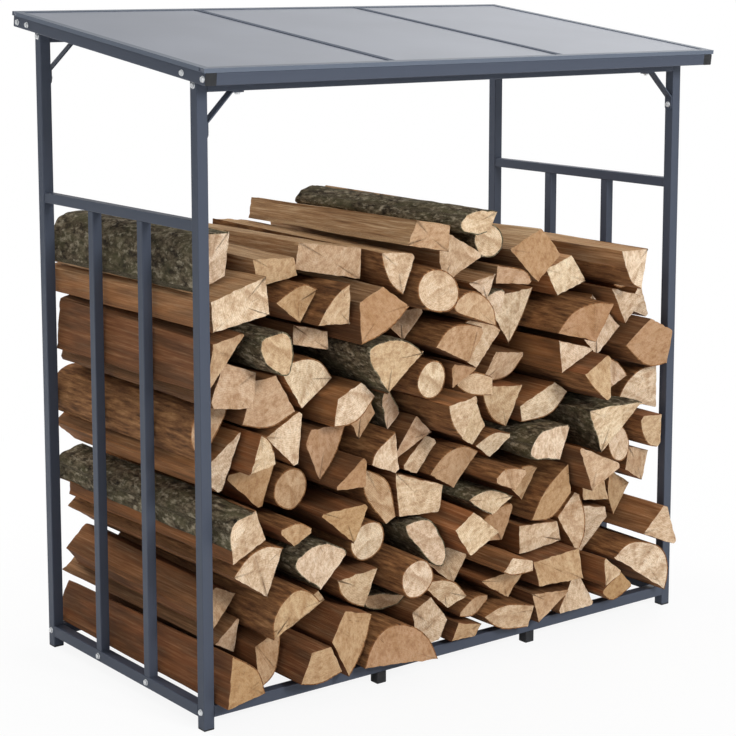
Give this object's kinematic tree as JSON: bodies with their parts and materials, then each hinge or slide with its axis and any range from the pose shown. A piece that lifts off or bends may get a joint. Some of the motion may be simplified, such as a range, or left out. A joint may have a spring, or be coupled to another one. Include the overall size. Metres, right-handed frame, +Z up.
{
  "type": "log store",
  "caption": "Open steel log store on corner posts with barred sides, a lean-to roof of clear sheets falling to the front, and a heap of split logs lying front to back.",
  "frame": {"origin": "on the ground, under the middle of the whole part's bounding box", "axes": "+Z up, front (open side where the log ends show) at -Y, +X to the right seen from the front"},
  "size_m": [1.4096, 0.785, 1.45],
  "materials": {
    "steel_tube": "anthracite powder coat, satin",
    "roof_section": "anthracite powder coat, satin",
    "roof_sheet": "grey tinted twin-wall sheet with fine ribs",
    "foot_plastic": "moulded black plastic",
    "log_wood": "freshly split firewood, dry, some bark"
  },
  "bodies": {
    "root": {"bottom_rail_back": "steel_tube", "bottom_rail_front": "steel_tube", "bottom_rail_left": "steel_tube", "bottom_rail_right": "steel_tube", "brace_back_left": "steel_tube", "brace_back_right": "steel_tube", "brace_front_left": "steel_tube", "brace_front_right": "steel_tube", "logs_layer_1": "log_wood", "logs_layer_2": "log_wood", "logs_layer_3": "log_wood", "logs_layer_4": "log_wood", "logs_layer_5": "log_wood", "logs_layer_6": "log_wood", "logs_layer_7": "log_wood", "logs_layer_8": "log_wood", "middle_feet": "foot_plastic", "post_back_left": "steel_tube", "post_back_right": "steel_tube", "post_feet": "foot_plastic", "post_front_left": "steel_tube", "post_front_right": "steel_tube", "roof_beam_back": "steel_tube", "roof_beam_front": "steel_tube", "roof_divider_left": "roof_section", "roof_divider_right": "roof_section", "roof_rail_left": "steel_tube", "roof_rail_plugs": "foot_plastic", "roof_rail_right": "steel_tube", "roof_sheet_left": "roof_sheet", "roof_sheet_middle": "roof_sheet", "roof_sheet_right": "roof_sheet", "roof_trim_back": "roof_section", "roof_trim_front": "roof_section", "roof_trim_left": "roof_section", "roof_trim_right": "roof_section", "side_bar_left_back": "steel_tube", "side_bar_left_front": "steel_tube", "side_bar_right_back": "steel_tube", "side_bar_right_front": "steel_tube", "side_rail_left": "steel_tube", "side_rail_right": "steel_tube", "top_beam_back": "steel_tube", "top_beam_front": "steel_tube"}
  },
  "joints": []
}
